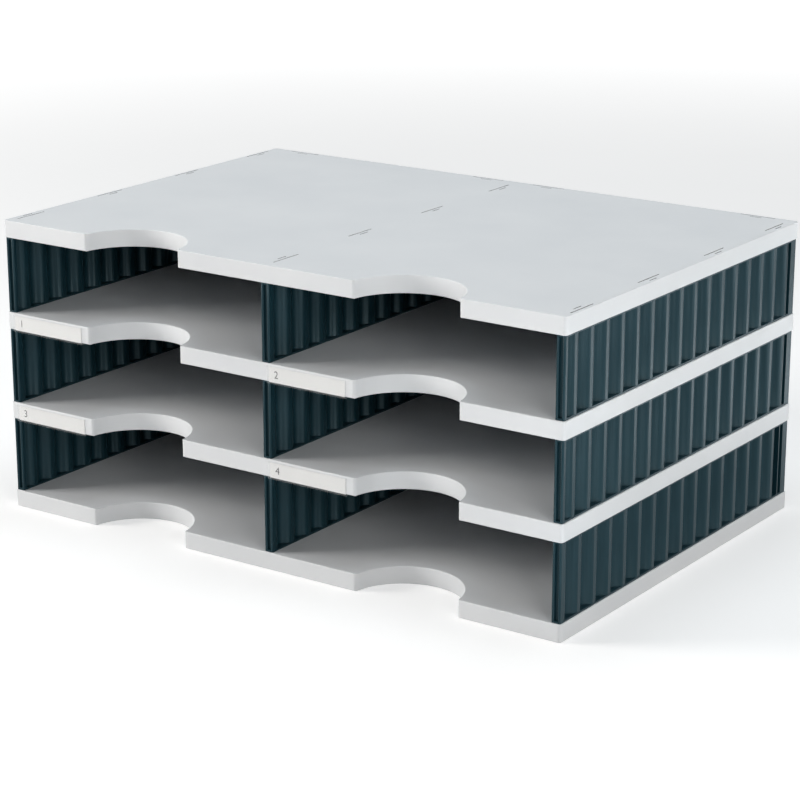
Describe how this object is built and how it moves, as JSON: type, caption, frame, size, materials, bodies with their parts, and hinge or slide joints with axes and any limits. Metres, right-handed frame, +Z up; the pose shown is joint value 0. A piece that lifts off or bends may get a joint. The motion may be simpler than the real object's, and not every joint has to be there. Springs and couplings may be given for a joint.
{
  "type": "letter sorting station",
  "caption": "Desktop sorting station: hollow shelves with finger notches on plug-in corrugated walls form open compartments for papers, with clip-on label holders.",
  "frame": {"origin": "middle of the footprint, on the surface that the station stands on", "axes": "+X to the right, +Y to the back, +Z up; the front with the finger notches faces -Y"},
  "size_m": [0.485, 0.3326, 0.223],
  "materials": {
    "shelf_plastic": "fine-grained light grey moulding",
    "wall_plastic": "satin anthracite moulding with a petrol cast",
    "clip_plastic": "clear moulding",
    "card": "white card with plain numerals"
  },
  "bodies": {
    "station": {"bottom_shelf": "shelf_plastic", "lower_shelf": "shelf_plastic", "upper_shelf": "shelf_plastic", "top_shelf": "shelf_plastic", "left_wall_bottom": "wall_plastic", "left_wall_middle": "wall_plastic", "left_wall_top": "wall_plastic", "centre_wall_bottom": "wall_plastic", "centre_wall_middle": "wall_plastic", "centre_wall_top": "wall_plastic", "right_wall_bottom": "wall_plastic", "right_wall_middle": "wall_plastic", "right_wall_top": "wall_plastic", "rear_wall_left_bottom": "wall_plastic", "rear_wall_left_middle": "wall_plastic", "rear_wall_left_top": "wall_plastic", "rear_wall_right_bottom": "wall_plastic", "rear_wall_right_middle": "wall_plastic", "rear_wall_right_top": "wall_plastic"},
    "clip_left_lower": {"label_clip_left_lower": "clip_plastic"},
    "card_left_lower": {"label_card_left_lower": "card"},
    "clip_right_lower": {"label_clip_right_lower": "clip_plastic"},
    "card_right_lower": {"label_card_right_lower": "card"},
    "clip_left_upper": {"label_clip_left_upper": "clip_plastic"},
    "card_left_upper": {"label_card_left_upper": "card"},
    "clip_right_upper": {"label_clip_right_upper": "clip_plastic"},
    "card_right_upper": {"label_card_right_upper": "card"}
  },
  "joints": [
    {"name": "clip_left_lower_pull", "type": "slide", "parent": "station", "child": "clip_left_lower", "axis": [0, 0, -1], "range_m": [0, 0.006]},
    {"name": "card_left_lower_slide", "type": "slide", "parent": "clip_left_lower", "child": "card_left_lower", "axis": [1, 0, 0], "range_m": [0, 0.055]},
    {"name": "clip_right_lower_pull", "type": "slide", "parent": "station", "child": "clip_right_lower", "axis": [0, 0, -1], "range_m": [0, 0.006]},
    {"name": "card_right_lower_slide", "type": "slide", "parent": "clip_right_lower", "child": "card_right_lower", "axis": [1, 0, 0], "range_m": [0, 0.055]},
    {"name": "clip_left_upper_pull", "type": "slide", "parent": "station", "child": "clip_left_upper", "axis": [0, 0, -1], "range_m": [0, 0.006]},
    {"name": "card_left_upper_slide", "type": "slide", "parent": "clip_left_upper", "child": "card_left_upper", "axis": [1, 0, 0], "range_m": [0, 0.055]},
    {"name": "clip_right_upper_pull", "type": "slide", "parent": "station", "child": "clip_right_upper", "axis": [0, 0, -1], "range_m": [0, 0.006]},
    {"name": "card_right_upper_slide", "type": "slide", "parent": "clip_right_upper", "child": "card_right_upper", "axis": [1, 0, 0], "range_m": [0, 0.055]}
  ]
}
